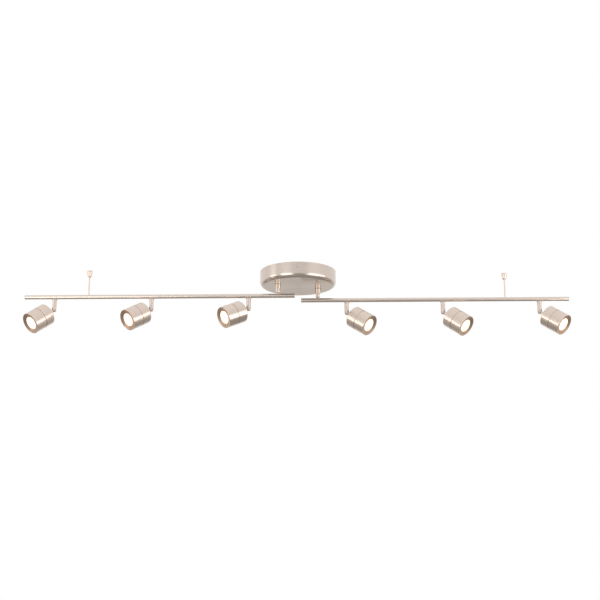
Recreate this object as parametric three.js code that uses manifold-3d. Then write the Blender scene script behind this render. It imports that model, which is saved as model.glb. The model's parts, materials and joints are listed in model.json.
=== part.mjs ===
// Six-head swing-arm track light, in millimetres, +Z up.
// Origin: centre of the ceiling face. X runs along the two bars, and the heads lean towards -Y.
// Two equal arms swing on posts under one round canopy, and each arm carries three spot heads.
import * as THREE from 'three';
import { mergeVertices, toCreasedNormals } from 'three/addons/utils/BufferGeometryUtils.js';
import Module from 'manifold-3d';

const wasm = await Module();
wasm.setup();

// ---------------------------------------------------------------- driving dimensions
const GAP = 0.3;                 // clearance between pieces that touch or turn in each other
const WIRE_BORE = 2.6;           // radius of the wire way through posts and stems

const CANOPY = { radius: 127, height: 50, edge: 13, wall: 1.5 };
const STRAP = { width: 24, thick: 2, tabDepth: 22, endSpace: 3.5, slotAt: 41.5, slotLong: 14, slotWide: 5 };
const SIDE_SCREW = { radius: 1.8, headRadius: 4.5, headHigh: 3, drop: 14, reach: 9 };
const DRIVER = { long: 100, wide: 40, high: 25, corner: 4 };
const TERMINAL = { long: 32, wide: 14, high: 11, wayRadius: 2.2, ways: 3 };

// The posts stand on a line across the canopy, one on each side of its centre.
const POST = { x: 66.5, y: 31, collarRadius: 10, collarLong: 15.5, chamfer: 0.8,
  stubRadius: 5, stubAboveNut: 4 };
const NUT = { flats: 16, high: 5 };
const WASHER = { radius: 10, thick: 1.5 };

// A knuckle is a round forked end, a tongue in its slot and a pin across both.
const KNUCKLE = { radius: 7.5, tongueRadius: 5.5, tongueThick: 4.6, endSpace: 1, neck: 1.2 };
const PIN = { radius: 2, endRound: 0.5, sink: 0.3 };

const BAR = { radius: 7, wall: 1.5, length: 900, postFromInnerEnd: 56.5, capThick: 1.2, plugLong: 6 };
const STEMS = { firstFromInnerEnd: 153.5, lastFromOuterEnd: 99.5 };
const SADDLE = { thick: 1.3, skirt: 2.5, flare: 1.5, neckLong: 3.5 };
const SPIGOT = { wallSpace: 1.1, topBelowBar: 2.6 };
const SUPPORT = { fromOuterEnd: 213, rodRadius: 2.2, rodInBar: 3 };
const FOOT = { topRadius: 9, high: 22, rimHigh: 5, waistRadius: 6.4, waistHigh: 4, noseRadius: 4,
  screwRadius: 1.9, screwDeep: 6, boreDeep: 12.5, rodInsert: 5 };

// barSpace is the room between the bar and a head that points level.
const HEAD = { radius: 36, length: 72.5, backFromPivot: 30.5, barSpace: 1.5, wall: 2.3, backWall: 2.5,
  chamfer: 1.5, bossRadius: 8, bossLong: 9, rearLong: 32.5, groove: 1.6, sleeveLong: 5, sleeveWall: 1.8 };
const BEZEL = { rimWidth: 1.4, dish: 3.2, plate: 1.8, opening: 22 };
const LENS = { space: 0.5, flange: 4, thick: 2, dome: 1 };
const LED = { flangeInset: 1, flangeThick: 3, coreRadius: 24, faceRadius: 12, faceHigh: 1.5,
  tailLong: 15, tailRadius: 20 };

// Each arm: side is its direction along X; aims run from the inner head to the outer one.
// turn is the angle from the bar's outward end towards -Y, tilt is measured from straight down.
const ARMS = [
  { name: 'left', side: -1, aims: [{ turn: 34, tilt: 66 }, { turn: 41, tilt: 61 }, { turn: 43, tilt: 55 }] },
  { name: 'right', side: 1, aims: [{ turn: 32, tilt: 58 }, { turn: 34, tilt: 55 }, { turn: 37, tilt: 56 }] },
];
const HEAD_NAMES = ['inner', 'middle', 'outer'];

// Sides of the round pieces.
const SEG = { canopy: 48, head: 20, lens: 16, bar: 16, small: 12, pin: 8 };

// ---------------------------------------------------------------- derived places
const collarTop = -CANOPY.height - GAP;
const collarBottom = collarTop - POST.collarLong;
const knucklePinZ = collarBottom - KNUCKLE.neck - KNUCKLE.radius;
const barTopZ = knucklePinZ - KNUCKLE.radius - KNUCKLE.endSpace;
const barZ = barTopZ - BAR.radius;
const barInner = -BAR.postFromInnerEnd;
const barOuter = barInner + BAR.length;
const firstStemX = barInner + STEMS.firstFromInnerEnd;
const stemPitch = (barOuter - STEMS.lastFromOuterEnd - firstStemX) / (HEAD_NAMES.length - 1);
const stemX = HEAD_NAMES.map((_, i) => firstStemX + i * stemPitch);
const supportX = barOuter - SUPPORT.fromOuterEnd;
const saddleBottomZ = barZ - BAR.radius - SADDLE.neckLong;
const stemPivotZ = barZ - BAR.radius - HEAD.barSpace - HEAD.radius;
const spigotRadius = BAR.radius - BAR.wall - SPIGOT.wallSpace;
const canopyFloorZ = CANOPY.wall - CANOPY.height;
const nutBottomZ = canopyFloorZ + WASHER.thick + 2 * GAP;
const stubTopZ = nutBottomZ + NUT.high + POST.stubAboveNut;

// ---------------------------------------------------------------- materials
const brushed = { metalness: 0.9, roughness: 0.34 };
const MATERIALS = {
  nickel: new THREE.MeshStandardMaterial({ color: '#c8b9ac', ...brushed }),
  satin: new THREE.MeshStandardMaterial({ color: '#c2b1a4', metalness: 0.9, roughness: 0.42 }),
  zinc: new THREE.MeshStandardMaterial({ color: '#b9bcc0', metalness: 0.85, roughness: 0.45 }),
  driver: new THREE.MeshStandardMaterial({ color: '#e9e8e4', metalness: 0, roughness: 0.6 }),
  terminal: new THREE.MeshStandardMaterial({ color: '#d8d3c6', metalness: 0, roughness: 0.5 }),
  heatsink: new THREE.MeshStandardMaterial({ color: '#8f9194', metalness: 0.7, roughness: 0.5 }),
  lens: new THREE.MeshStandardMaterial({ color: '#fff3dc', metalness: 0, roughness: 0.3,
    emissive: '#ffdca8', emissiveIntensity: 0.8 }),
};

// ---------------------------------------------------------------- solids
/** A closed three.js geometry as a manifold solid. */
function solid(geometry) {
  const plain = geometry.clone();
  plain.deleteAttribute('normal');
  plain.deleteAttribute('uv');
  const merged = mergeVertices(plain, 1e-4);
  const mesh = new wasm.Mesh({
    numProp: 3,
    vertProperties: new Float32Array(merged.attributes.position.array),
    triVerts: new Uint32Array(merged.index.array),
  });
  return new wasm.Manifold(mesh);
}

/** A manifold solid as a three.js geometry with normals split at sharp edges. */
function geometryOf(manifold) {
  const mesh = manifold.getMesh();
  const geometry = new THREE.BufferGeometry();
  geometry.setAttribute('position', new THREE.BufferAttribute(new Float32Array(mesh.vertProperties), 3));
  geometry.setIndex(new THREE.BufferAttribute(new Uint32Array(mesh.triVerts), 1));
  return toCreasedNormals(geometry, Math.PI / 5);
}

/** A solid of revolution about Z from [radius, z] points that end on the axis or close on themselves. */
function turned(points, segments) {
  const profile = points.map(([r, z]) => new THREE.Vector2(r, z));
  if (profile[0].x > 0) profile.push(profile[0].clone());
  const area = profile.reduce((sum, p, i) => {
    const q = profile[(i + 1) % profile.length];
    return sum + p.x * q.y - q.x * p.y;
  }, 0);
  if (area < 0) profile.reverse();
  return solid(new THREE.LatheGeometry(profile, segments).rotateX(Math.PI / 2));
}

/** Points of an arc about [r, z], from one angle to another in degrees, 0 pointing outwards. */
function arc(r, z, radius, from, to, steps) {
  return Array.from({ length: steps + 1 }, (_, i) => {
    const angle = THREE.MathUtils.degToRad(from + ((to - from) * i) / steps);
    return [r + radius * Math.cos(angle), z + radius * Math.sin(angle)];
  });
}

/** A round rod between two heights on the Z axis. */
function rod(radius, low, high, segments) {
  return turned([[0, low], [radius, low], [radius, high], [0, high]], segments);
}

/** A box from its lowest corner to its highest one. */
function block(low, high) {
  const size = high.map((value, i) => value - low[i]);
  const centre = high.map((value, i) => (value + low[i]) / 2);
  return solid(new THREE.BoxGeometry(...size).translate(...centre));
}

/** A tongue in the XZ plane: round about the pin, then straight down to depth, with the pin's hole. */
function tongue(pinZ, depth) {
  const { tongueRadius: radius, tongueThick: thick } = KNUCKLE;
  const outline = new THREE.Shape();
  outline.moveTo(radius, -depth);
  outline.lineTo(radius, 0);
  outline.absarc(0, 0, radius, 0, Math.PI, false);
  outline.lineTo(-radius, -depth);
  const hole = new THREE.Path();
  hole.absarc(0, 0, PIN.radius + GAP, 0, 2 * Math.PI, true);
  outline.holes.push(hole);
  const plate = new THREE.ExtrudeGeometry(outline, { depth: thick, bevelEnabled: false, curveSegments: 6 });
  plate.translate(0, 0, -thick / 2).rotateX(Math.PI / 2).translate(0, 0, pinZ);
  return solid(plate);
}

/** Cuts a fork into the round end of a shaft: a slot for the tongue and the hole for the pin along Y. */
function forked(shaft, pinZ) {
  const reach = 2 * KNUCKLE.radius;
  const half = KNUCKLE.tongueThick / 2 + GAP;
  const slotTop = pinZ + KNUCKLE.tongueRadius + KNUCKLE.endSpace;
  const slot = block([-reach, -half, pinZ - reach], [reach, half, slotTop]);
  const hole = rod(PIN.radius + GAP, -reach, reach, SEG.pin).rotate([90, 0, 0]).translate([0, 0, pinZ]);
  return shaft.subtract(slot).subtract(hole);
}

/** The pin through a fork, along Y. */
function forkPin(pinZ) {
  const half = KNUCKLE.radius - PIN.sink;
  const shank = turned([
    [0, -half], [PIN.radius - PIN.endRound, -half], [PIN.radius, -half + PIN.endRound],
    [PIN.radius, half - PIN.endRound], [PIN.radius - PIN.endRound, half], [0, half],
  ], SEG.pin);
  return shank.rotate([90, 0, 0]).translate([0, 0, pinZ]);
}

/** A six-sided nut standing on a height, with its clearance hole. */
function hexNut(bottom) {
  const outline = new THREE.Shape();
  const corner = NUT.flats / Math.sqrt(3);
  outline.moveTo(corner, 0);
  for (let i = 1; i < 6; i += 1) {
    outline.lineTo(corner * Math.cos((i * Math.PI) / 3), corner * Math.sin((i * Math.PI) / 3));
  }
  const body = new THREE.ExtrudeGeometry(outline, { depth: NUT.high, bevelEnabled: false });
  const bore = rod(POST.stubRadius + GAP, bottom - 1, bottom + NUT.high + 1, SEG.small);
  return solid(body.translate(0, 0, bottom)).subtract(bore);
}

// ---------------------------------------------------------------- canopy and what it covers
/** Pressed pan, open at the ceiling, with holes for the two posts and the two side screws. */
function canopyShell() {
  const { radius, height, edge, wall } = CANOPY;
  const flat = radius - edge;
  const shell = turned([
    [0, -height],
    ...arc(flat, edge - height, edge, -90, 0, 6),
    [radius, 0],
    [radius - wall, 0],
    ...arc(flat, edge - height, edge - wall, 0, -90, 5),
    [0, wall - height],
  ], SEG.canopy);
  const sideHole = rod(SIDE_SCREW.radius + GAP, -radius - wall, radius + wall, SEG.pin)
    .rotate([90, 0, 0]).translate([0, 0, -SIDE_SCREW.drop]);
  const postHole = rod(POST.stubRadius + GAP, -height - wall, edge - height, SEG.small);
  return ARMS.reduce(
    (pan, { side }) => pan.subtract(postHole.translate([side * POST.x, side * POST.y, 0])),
    shell.subtract(sideHole),
  );
}

/** Cross strap for the ceiling box, with turned-down ends that take the side screws. */
function mountingStrap() {
  const { width, thick, tabDepth, slotAt, slotLong, slotWide } = STRAP;
  const half = CANOPY.radius - CANOPY.wall - STRAP.endSpace;
  const outline = new THREE.Shape();
  [[-half, 0], [-half, -tabDepth], [thick - half, -tabDepth], [thick - half, -thick],
    [half - thick, -thick], [half - thick, -tabDepth], [half, -tabDepth], [half, 0],
  ].forEach(([y, z], i) => (i ? outline.lineTo(y, z) : outline.moveTo(y, z)));
  const bent = new THREE.ExtrudeGeometry(outline, { depth: width, bevelEnabled: false });
  // The outline is drawn in X and Y, then turned to lie in Y and Z.
  bent.translate(0, 0, -width / 2).rotateX(Math.PI / 2).rotateZ(Math.PI / 2);
  let strap = solid(bent);
  const round = rod(slotWide / 2, -2 * thick, thick, SEG.pin);
  [-1, 1].forEach((end) => {
    const low = end * slotAt - slotLong / 2 + slotWide / 2;
    const high = end * slotAt + slotLong / 2 - slotWide / 2;
    const straight = block([-slotWide / 2, low, -2 * thick], [slotWide / 2, high, thick]);
    strap = strap.subtract(straight.add(round.translate([0, low, 0])).add(round.translate([0, high, 0])));
  });
  const screwHoles = rod(SIDE_SCREW.radius + GAP, -half - 1, half + 1, SEG.pin)
    .rotate([90, 0, 0]).translate([0, 0, -SIDE_SCREW.drop]);
  return strap.subtract(screwHoles);
}

/** Side screw with a domed head, pointing along +Y from the canopy wall. */
function sideScrew() {
  const { radius, headRadius, headHigh, reach } = SIDE_SCREW;
  const screw = turned([
    [0, -headHigh - GAP],
    [headRadius * 0.5, -headHigh - GAP],
    [headRadius * 0.9, -headHigh * 0.65 - GAP],
    [headRadius, -GAP],
    [radius, -GAP],
    [radius, reach],
    [0, reach],
  ], SEG.small);
  return screw.rotate([-90, 0, 0]);
}

/** LED driver: a box with rounded upright edges that lies on the canopy floor. */
function driverBox() {
  const { long, wide, high, corner } = DRIVER;
  const [x, y] = [long / 2, wide / 2];
  const outline = new THREE.Shape();
  outline.absarc(x - corner, y - corner, corner, 0, Math.PI / 2, false);
  outline.absarc(corner - x, y - corner, corner, Math.PI / 2, Math.PI, false);
  outline.absarc(corner - x, corner - y, corner, Math.PI, 1.5 * Math.PI, false);
  outline.absarc(x - corner, corner - y, corner, 1.5 * Math.PI, 2 * Math.PI, false);
  const body = new THREE.ExtrudeGeometry(outline, { depth: high, bevelEnabled: false, curveSegments: 4 });
  return solid(body.translate(0, 0, canopyFloorZ + GAP));
}

/** Terminal block on top of the driver, with its wire ways along Y. */
function terminalBlock() {
  const { long, wide, high, wayRadius, ways } = TERMINAL;
  const bottom = canopyFloorZ + 2 * GAP + DRIVER.high;
  let body = block([-long / 2, -wide / 2, bottom], [long / 2, wide / 2, bottom + high]);
  const way = rod(wayRadius, -wide, wide, SEG.pin).rotate([90, 0, 0]);
  for (let i = 0; i < ways; i += 1) {
    body = body.subtract(way.translate([((i + 0.5) / ways - 0.5) * long, 0, bottom + high / 2]));
  }
  return body;
}

// ---------------------------------------------------------------- one arm, built along +X from its post
/** Swing post: hollow stub through the canopy, collar under it, and a fork for the bar's tongue. */
function pivotPost() {
  const { collarRadius, stubRadius, chamfer } = POST;
  const post = turned([
    [WIRE_BORE, stubTopZ],
    [stubRadius, stubTopZ],
    [stubRadius, collarTop],
    [collarRadius, collarTop],
    [collarRadius, collarBottom + chamfer],
    [collarRadius - chamfer, collarBottom],
    [KNUCKLE.radius, collarBottom],
    ...arc(0, knucklePinZ, KNUCKLE.radius, 0, -60, 4),
    [WIRE_BORE, knucklePinZ - Math.sqrt(KNUCKLE.radius ** 2 - WIRE_BORE ** 2)],
  ], SEG.small);
  return forked(post, knucklePinZ);
}

/** Flat washer between the canopy floor and the nut. */
function pivotWasher() {
  const low = canopyFloorZ + GAP;
  const inner = POST.stubRadius + GAP;
  return turned([
    [inner, low], [WASHER.radius, low], [WASHER.radius, low + WASHER.thick], [inner, low + WASHER.thick],
  ], SEG.small);
}

/** The bar's tube with its tongue on top and three saddles below, bored for the stems and the rod. */
function bar() {
  const inner = BAR.radius - BAR.wall;
  const cap = BAR.capThick + GAP;
  const alongX = (piece) => piece.rotate([0, 90, 0]).translate([0, 0, barZ]);
  const skin = alongX(rod(BAR.radius, barInner + cap, barOuter - cap, SEG.bar));
  const hollow = alongX(rod(inner, barInner - cap, barOuter + cap, SEG.bar));
  const wrap = alongX(rod(BAR.radius + SADDLE.thick, barInner, barOuter, SEG.bar));
  const skirt = rod(KNUCKLE.radius + SADDLE.skirt, barZ - BAR.radius - SADDLE.thick, barZ, SEG.small);
  const neckTopZ = barZ - BAR.radius + BAR.wall / 2;
  const neck = turned([
    [0, saddleBottomZ], [KNUCKLE.radius, saddleBottomZ],
    [KNUCKLE.radius + SADDLE.flare, neckTopZ], [0, neckTopZ],
  ], SEG.small);
  const saddle = skirt.intersect(wrap).add(neck);
  const stemBore = rod(spigotRadius + GAP, saddleBottomZ - 1, barZ, SEG.small);
  let body = skin.add(tongue(knucklePinZ, knucklePinZ - barTopZ + BAR.wall / 2));
  stemX.forEach((x) => {
    body = body.add(saddle.translate([x, 0, 0]));
  });
  body = body.subtract(hollow);
  stemX.forEach((x) => {
    body = body.subtract(stemBore.translate([x, 0, 0]));
  });
  const rodHole = rod(SUPPORT.rodRadius + GAP, barZ, barTopZ + 1, SEG.pin);
  return body.subtract(rodHole.translate([supportX, 0, 0]));
}

/** End cap pointing along +X from its tube end: a disc with a plug behind it. */
function barCap() {
  const plug = BAR.radius - BAR.wall - GAP;
  const edge = 0.4;
  return turned([
    [0, -BAR.plugLong], [plug, -BAR.plugLong], [plug, GAP], [BAR.radius, GAP],
    [BAR.radius, GAP + BAR.capThick - edge], [BAR.radius - edge, GAP + BAR.capThick], [0, GAP + BAR.capThick],
  ], SEG.bar).rotate([0, 90, 0]);
}

/** Thin rod that stands in the bar and reaches up into the foot. */
function supportRod() {
  const low = barTopZ - SUPPORT.rodInBar;
  return rod(SUPPORT.rodRadius, low, FOOT.rodInsert - FOOT.high, SEG.pin);
}

/** Ceiling foot: flat on top with a screw hole, tapered and rounded below, bored for the rod. */
function supportFoot() {
  const { topRadius, high, rimHigh, waistRadius, waistHigh, noseRadius } = FOOT;
  const { screwRadius, screwDeep, boreDeep } = FOOT;
  const bore = SUPPORT.rodRadius + GAP;
  return turned([
    [0, -screwDeep], [screwRadius, -screwDeep], [screwRadius, 0], [topRadius, 0],
    [topRadius, -rimHigh], [waistRadius, waistHigh - high], [noseRadius, -high],
    [bore, -high], [bore, boreDeep - high], [0, boreDeep - high],
  ], SEG.small);
}

// ---------------------------------------------------------------- one head, built pointing straight down
/** Hollow stem that turns in its saddle and ends in a fork. */
function stem() {
  const top = saddleBottomZ - GAP;
  const spigotTop = barZ - SPIGOT.topBelowBar;
  const shaft = turned([
    [WIRE_BORE, spigotTop], [spigotRadius, spigotTop], [spigotRadius, top],
    [KNUCKLE.radius, top],
    ...arc(0, stemPivotZ, KNUCKLE.radius, 0, -60, 4),
    [WIRE_BORE, stemPivotZ - Math.sqrt(KNUCKLE.radius ** 2 - WIRE_BORE ** 2)],
  ], SEG.small);
  return forked(shaft, stemPivotZ);
}

const back = -HEAD.backFromPivot;
const front = back - HEAD.length;
const rearEnd = back - HEAD.rearLong;
const shroudStart = rearEnd - HEAD.groove;
const sleeveEnd = shroudStart - HEAD.sleeveLong;
const shroudBore = HEAD.radius - HEAD.wall;
const sleeveRadius = shroudBore - GAP;
const bezelInner = front + BEZEL.dish;
const bezelBack = bezelInner + BEZEL.plate;
const lensBack = bezelBack + GAP + LENS.thick;

/** Rear half: back wall with a boss and tongue, side wall, and the sleeve that the shroud slides on. */
function rearHousing() {
  const { radius, wall, backWall, chamfer, bossRadius, bossLong } = HEAD;
  const sleeveInner = sleeveRadius - HEAD.sleeveWall;
  const bossChamfer = 2;
  const shell = turned([
    [0, back + bossLong], [bossRadius - bossChamfer, back + bossLong],
    [bossRadius, back + bossLong - bossChamfer],
    [bossRadius, back], [radius - chamfer, back], [radius, back - chamfer],
    [radius, rearEnd], [sleeveRadius, rearEnd], [sleeveRadius, sleeveEnd],
    [sleeveInner, sleeveEnd], [sleeveInner, rearEnd + wall],
    [radius - wall, rearEnd + 2 * wall], [radius - wall, back - backWall], [0, back - backWall],
  ], SEG.head);
  return shell.add(tongue(0, HEAD.backFromPivot - bossLong + 1));
}

/** Front half: a tube whose front is dished in to the edge of the lens. */
function frontShroud() {
  const { radius, chamfer } = HEAD;
  const rim = radius - BEZEL.rimWidth;
  return turned([
    [radius, shroudStart], [radius, front + chamfer / 2], [radius - chamfer / 2, front],
    [rim, front], [BEZEL.opening, bezelInner], [BEZEL.opening, bezelBack],
    [shroudBore, bezelBack], [shroudBore, shroudStart],
  ], SEG.head);
}

/** Lens: a disc that fills the bezel's opening, with a flange behind it and a shallow dome in front. */
function lens() {
  const face = BEZEL.opening - LENS.space;
  const edgeZ = bezelInner;
  return turned([
    [0, edgeZ - LENS.dome], [face * 0.55, edgeZ - LENS.dome * 0.7], [face, edgeZ],
    [face, bezelBack + GAP], [face + LENS.flange, bezelBack + GAP],
    [face + LENS.flange, lensBack], [0, lensBack],
  ], SEG.lens);
}

/** Heat sink with the LED on its face; its flange sits on the end of the rear housing's sleeve. */
function ledModule() {
  const seat = sleeveEnd - GAP;
  const faceZ = lensBack + GAP;
  const flange = sleeveRadius - LED.flangeInset;
  const { flangeThick, coreRadius, faceRadius, faceHigh, tailLong, tailRadius } = LED;
  return turned([
    [0, faceZ], [faceRadius, faceZ], [faceRadius, faceZ + faceHigh], [coreRadius, faceZ + faceHigh],
    [coreRadius, seat - flangeThick], [flange, seat - flangeThick], [flange, seat],
    [tailRadius, seat], [tailRadius, seat + tailLong], [0, seat + tailLong],
  ], SEG.lens);
}

// ---------------------------------------------------------------- assembly
const fixture = new THREE.Group();

function place(parent, name, manifold, material, position = [0, 0, 0]) {
  const mesh = new THREE.Mesh(geometryOf(manifold), material);
  mesh.name = name;
  mesh.position.set(...position);
  parent.add(mesh);
  return mesh;
}

function subGroup(parent, position) {
  const group = new THREE.Group();
  group.position.set(...position);
  parent.add(group);
  return group;
}

function addCanopy() {
  place(fixture, 'canopy_shell', canopyShell(), MATERIALS.satin);
  place(fixture, 'mounting_strap', mountingStrap(), MATERIALS.zinc);
  place(fixture, 'driver', driverBox(), MATERIALS.driver);
  place(fixture, 'terminal_block', terminalBlock(), MATERIALS.terminal);
  const screwAt = [0, -CANOPY.radius, -SIDE_SCREW.drop];
  place(fixture, 'canopy_screw_front', sideScrew(), MATERIALS.nickel, screwAt);
  const behind = subGroup(fixture, [0, 0, 0]);
  behind.rotation.z = Math.PI;
  place(behind, 'canopy_screw_back', sideScrew(), MATERIALS.nickel, screwAt);
}

function addHead(arm, prefix, x, aim, side) {
  const swivel = subGroup(arm, [x, 0, 0]);
  swivel.rotation.z = THREE.MathUtils.degToRad(-side * aim.turn);
  place(swivel, `${prefix}_stem`, stem(), MATERIALS.nickel);
  place(swivel, `${prefix}_tilt_pin`, forkPin(stemPivotZ), MATERIALS.zinc);
  const head = subGroup(swivel, [0, 0, stemPivotZ]);
  head.rotation.y = THREE.MathUtils.degToRad(-aim.tilt);
  place(head, `${prefix}_rear_housing`, rearHousing(), MATERIALS.nickel);
  place(head, `${prefix}_front_shroud`, frontShroud(), MATERIALS.nickel);
  place(head, `${prefix}_lens`, lens(), MATERIALS.lens);
  place(head, `${prefix}_led_module`, ledModule(), MATERIALS.heatsink);
}

function addArm({ name, side, aims }) {
  const arm = subGroup(fixture, [side * POST.x, side * POST.y, 0]);
  arm.rotation.z = side < 0 ? Math.PI : 0;
  place(arm, `${name}_pivot_post`, pivotPost(), MATERIALS.nickel);
  place(arm, `${name}_pivot_washer`, pivotWasher(), MATERIALS.zinc);
  place(arm, `${name}_pivot_nut`, hexNut(nutBottomZ), MATERIALS.zinc);
  place(arm, `${name}_knuckle_pin`, forkPin(knucklePinZ), MATERIALS.zinc);
  place(arm, `${name}_bar`, bar(), MATERIALS.nickel);
  const cap = BAR.capThick + GAP;
  place(arm, `${name}_outer_cap`, barCap(), MATERIALS.nickel, [barOuter - cap, 0, barZ]);
  const inner = subGroup(arm, [barInner + cap, 0, barZ]);
  inner.rotation.z = Math.PI;
  place(inner, `${name}_inner_cap`, barCap(), MATERIALS.nickel);
  place(arm, `${name}_support_rod`, supportRod(), MATERIALS.nickel, [supportX, 0, 0]);
  place(arm, `${name}_support_foot`, supportFoot(), MATERIALS.nickel, [supportX, 0, 0]);
  aims.forEach((aim, i) => addHead(arm, `${name}_${HEAD_NAMES[i]}`, stemX[i], aim, side));
}

addCanopy();
ARMS.forEach(addArm);

export default fixture;
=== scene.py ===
"""Six-head swing-arm track light in brushed nickel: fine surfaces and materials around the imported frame."""

import json
import math

import bmesh
import bpy
from mathutils import Matrix, Vector


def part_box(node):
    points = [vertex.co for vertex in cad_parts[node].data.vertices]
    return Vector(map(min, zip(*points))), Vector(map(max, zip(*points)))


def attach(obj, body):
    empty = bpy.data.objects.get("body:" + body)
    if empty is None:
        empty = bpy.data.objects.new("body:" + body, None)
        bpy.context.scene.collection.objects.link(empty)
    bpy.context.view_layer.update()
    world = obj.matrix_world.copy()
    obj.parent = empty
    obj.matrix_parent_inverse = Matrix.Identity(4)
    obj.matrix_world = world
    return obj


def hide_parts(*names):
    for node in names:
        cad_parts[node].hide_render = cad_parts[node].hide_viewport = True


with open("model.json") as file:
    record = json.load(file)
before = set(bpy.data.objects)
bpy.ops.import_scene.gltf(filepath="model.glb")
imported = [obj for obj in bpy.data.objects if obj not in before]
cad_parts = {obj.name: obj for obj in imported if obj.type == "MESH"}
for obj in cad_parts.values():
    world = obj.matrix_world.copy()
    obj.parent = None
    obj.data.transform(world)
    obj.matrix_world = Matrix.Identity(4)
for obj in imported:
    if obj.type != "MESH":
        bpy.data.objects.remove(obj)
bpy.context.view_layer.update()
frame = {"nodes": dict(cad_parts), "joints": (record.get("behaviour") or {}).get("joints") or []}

# ---------------------------------------------------------------- sizes, in metres
MM = 0.001
EASE = 0.3 * MM                 # space between pieces that fit together
WIRE_BORE = 2.6 * MM            # radius of the wires' way through a post or a stem
CUT_REACH = 20 * MM             # how far a cutting tool sticks out of a knuckle

CANOPY_WALL = 1.5 * MM
CANOPY_EDGE = 13 * MM
POST_HOLE = 5.3 * MM

SCREW_SHANK = 1.8 * MM
SCREW_SLOT = 1 * MM
SCREW_DOME = 1.5 * MM
SCREW_CROWN = 0.55              # share of the screw head's radius that its flat top takes
SCREW_SHOULDER = 0.35           # shares of the head's height at its shoulder and at the slot's floor
SCREW_SLOT_FLOOR = 0.6

TONGUE_THICK = 4.6 * MM
TONGUE_RADIUS = 5.5 * MM
TONGUE_SINK = 1 * MM            # how far a tongue's foot goes into the boss below it
PIN_RADIUS = 2 * MM
PIN_INSET = 0.3 * MM            # from a fork's side to the end of its pin
FORK_WALL = 5.5 * MM            # from a fork's pin to its outside
FORK_ROOF = 1 * MM              # from the top of a tongue to the top of its slot

COLLAR_LONG = 15.5 * MM
STUB_RADIUS = 5 * MM

BAR_WALL = 1.5 * MM
SADDLE_THICK = 1.3 * MM
SADDLE_RADIUS = 10 * MM
SADDLE_NECK = 3.5 * MM
SADDLE_FILLET = 2 * MM
SADDLE_EDGE = 0.4 * MM
NECK_STRAIGHT = 0.45            # share of a saddle's neck that is straight, below the fillet
NECK_RADIUS = 7.5 * MM
SPIGOT_HOLE = 4.7 * MM
CAP_THICK = 1.2 * MM
PLUG_LONG = 6 * MM

ROD_HOLE = 2.5 * MM
FOOT_SCREW_RADIUS = 1.9 * MM    # the screw that goes up into the ceiling
FOOT_SCREW_DEEP = 6 * MM
FOOT_RIM = 5 * MM
FOOT_WAIST_RADIUS = 6.4 * MM
FOOT_WAIST_UP = 4 * MM
FOOT_FILLET = 3 * MM
FOOT_TIP_RADIUS = 4 * MM
FOOT_BORE_DEEP = 12.5 * MM

HEAD_LONG = 72.5 * MM
HEAD_WALL = 2.3 * MM
HEAD_BACK_WALL = 2.5 * MM
HEAD_BACK_FILLET = 2.2 * MM
HEAD_GROOVE = 1.6 * MM          # width of the groove round the head
GROOVE_DEEP = 1.9 * MM
BOSS_RADIUS = 8 * MM
BOSS_LONG = 9 * MM
BOSS_FILLET = 2 * MM
BOSS_ROOT = 1.2 * MM
SLEEVE_WALL = 1.8 * MM
BEZEL_OPENING = 22 * MM
BEZEL_DISH = 3.2 * MM
BEZEL_PLATE = 1.8 * MM
BEZEL_RIM = 1.4 * MM
BEZEL_RIM_EDGE = 0.5 * MM       # the rim's rounded inner edge, which isn't part of the dish
LENS_DOME = 1 * MM
LENS_FLAT = 0.95                # share of the lens's radius where its dome ends
LENS_FLANGE = 4 * MM

STRAP_EDGE = 0.35 * MM
DRIVER_EDGE = 0.8 * MM
TERMINAL_EDGE = 0.4 * MM
NUT_EDGE = 0.4 * MM

# How finely round shapes are drawn: flat sides to a full turn, and steps to an arc.
CANOPY_SIDES = 192
HEAD_SIDES = 128
LENS_SIDES = 96
SHAFT_SIDES = 72
SMALL_SIDES = 48                # screws and drilled holes
PIN_SIDES = 40
PIN_HOLE_SIDES = 32
FILLET_STEPS = 6
CANOPY_EDGE_STEPS = 12
TONGUE_STEPS = 24
BALL_STEPS = 14
LENS_STEPS = 10

HOLD_SHARE = 0.05               # a loop this far along each straight keeps a fillet's shading out of it
ON_AXIS = 1e-7                  # a point nearer the axis than this is on it
WELD = 1e-6
FLAT_ANGLE = math.radians(1)
BEVEL_ANGLE = math.radians(35)
SMOOTH_ANGLE = math.radians(28)
CARRIED_SMOOTH_ANGLE = math.radians(40)

ARMS = ("left", "right")
HEADS = ("inner", "middle", "outer")

# ---------------------------------------------------------------- places, from the frame
joints = {joint["name"]: joint for joint in frame["joints"]}


def arm_frame(arm):
    """The arm's own frame: Z through its post, X along its bar to the outer end."""
    x, y, _ = joints[f"{arm}_arm_swing"]["pos_m"]
    half_turn = math.pi if x < 0 else 0
    return Matrix.Translation((x, y, 0)) @ Matrix.Rotation(half_turn, 4, "Z")


def swivel_frame(head):
    """The stem's own frame at its tilt pin: X is where the head leans to."""
    joint = joints[f"{head}_head_tilt"]
    across_x, across_y, _ = joint["axis"]
    return Matrix.Translation(joint["pos_m"]) @ Matrix.Rotation(math.atan2(across_x, -across_y), 4, "Z")


def head_frame(head):
    """The head's own frame at its tilt pin: it points down its -Z."""
    tilt = math.radians(-joints[f"{head}_head_tilt"]["range_deg"][0])
    return swivel_frame(head) @ Matrix.Rotation(-tilt, 4, "Y")


def reach(node, place):
    """(radius, lowest z, highest z) of a CAD node about the Z axis of a frame."""
    inverse = place.inverted()
    points = [inverse @ vertex.co for vertex in frame["nodes"][node].data.vertices]
    radius = max(math.hypot(point.x, point.y) for point in points)
    return radius, min(point.z for point in points), max(point.z for point in points)


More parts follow.
